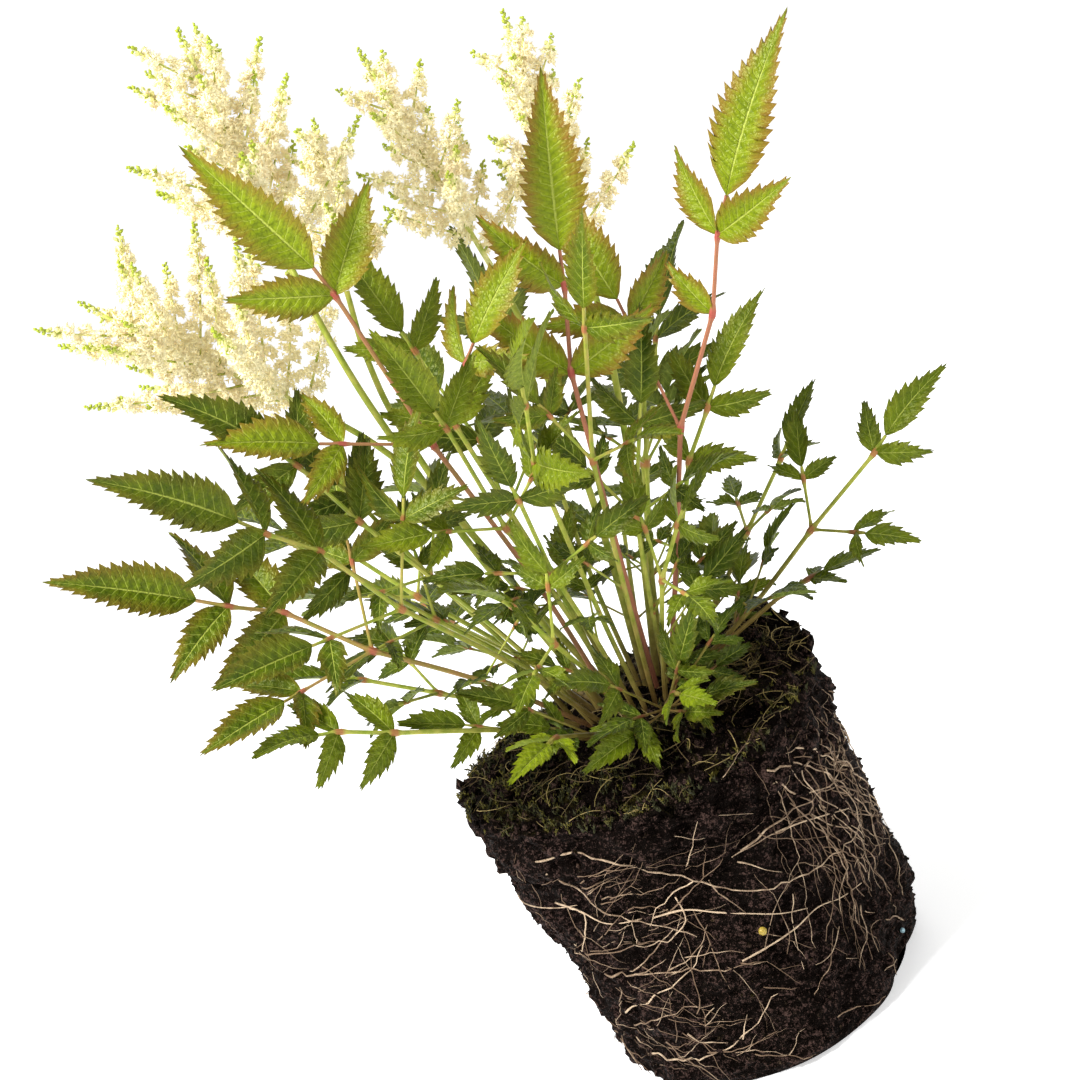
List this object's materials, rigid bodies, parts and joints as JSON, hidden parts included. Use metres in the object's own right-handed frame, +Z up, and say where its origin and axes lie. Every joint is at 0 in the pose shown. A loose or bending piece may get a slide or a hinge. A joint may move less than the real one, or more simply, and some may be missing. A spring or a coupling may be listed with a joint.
{
  "type": "astilbe plant",
  "caption": "Flowering astilbe lifted from its pot: ferny toothed fronds and feathery cream plumes standing in a bare pot-shaped root ball.",
  "frame": {"origin": "middle of the root ball's flat underside", "axes": "+Z up along the root ball's axis, +X to the right of the pictured view, +Y away from the viewer"},
  "size_m": [0.3526, 0.2746, 0.4712],
  "materials": {
    "peat": "matte",
    "leaf": "satin",
    "young_leaf": "satin",
    "flower_stalk": "satin",
    "cream_floret": "matte"
  },
  "bodies": {
    "root": {"flower_stalk_far_left": "flower_stalk", "flower_stalk_middle": "flower_stalk", "flower_stalk_right": "flower_stalk", "flower_stalk_short_back": "flower_stalk", "flower_stalk_tall_left": "flower_stalk", "frond_back": "leaf", "frond_back_left": "leaf", "frond_back_low_left": "leaf", "frond_back_low_right": "leaf", "frond_back_right": "leaf", "frond_front_high": "leaf", "frond_front_low": "leaf", "frond_front_right": "leaf", "frond_inner_back": "leaf", "frond_inner_front": "leaf", "frond_inner_left": "leaf", "frond_inner_right": "leaf", "frond_left_fill": "leaf", "frond_left_high": "leaf", "frond_left_long": "leaf", "frond_left_low": "leaf", "frond_left_top": "leaf", "frond_left_under": "leaf", "frond_left_upper": "leaf", "frond_middle_left": "leaf", "frond_middle_top": "leaf", "frond_red_tip": "leaf", "frond_right_back": "leaf", "frond_right_fill": "leaf", "frond_right_inner": "leaf", "frond_right_long": "leaf", "frond_right_low": "leaf", "frond_right_middle": "leaf", "frond_right_tall": "leaf", "frond_yellow_front": "young_leaf", "frond_young_front": "young_leaf", "plume_far_left": "cream_floret", "plume_middle": "cream_floret", "plume_right": "cream_floret", "plume_short_back": "cream_floret", "plume_tall_left": "cream_floret", "root_ball": "peat"}
  },
  "joints": []
}
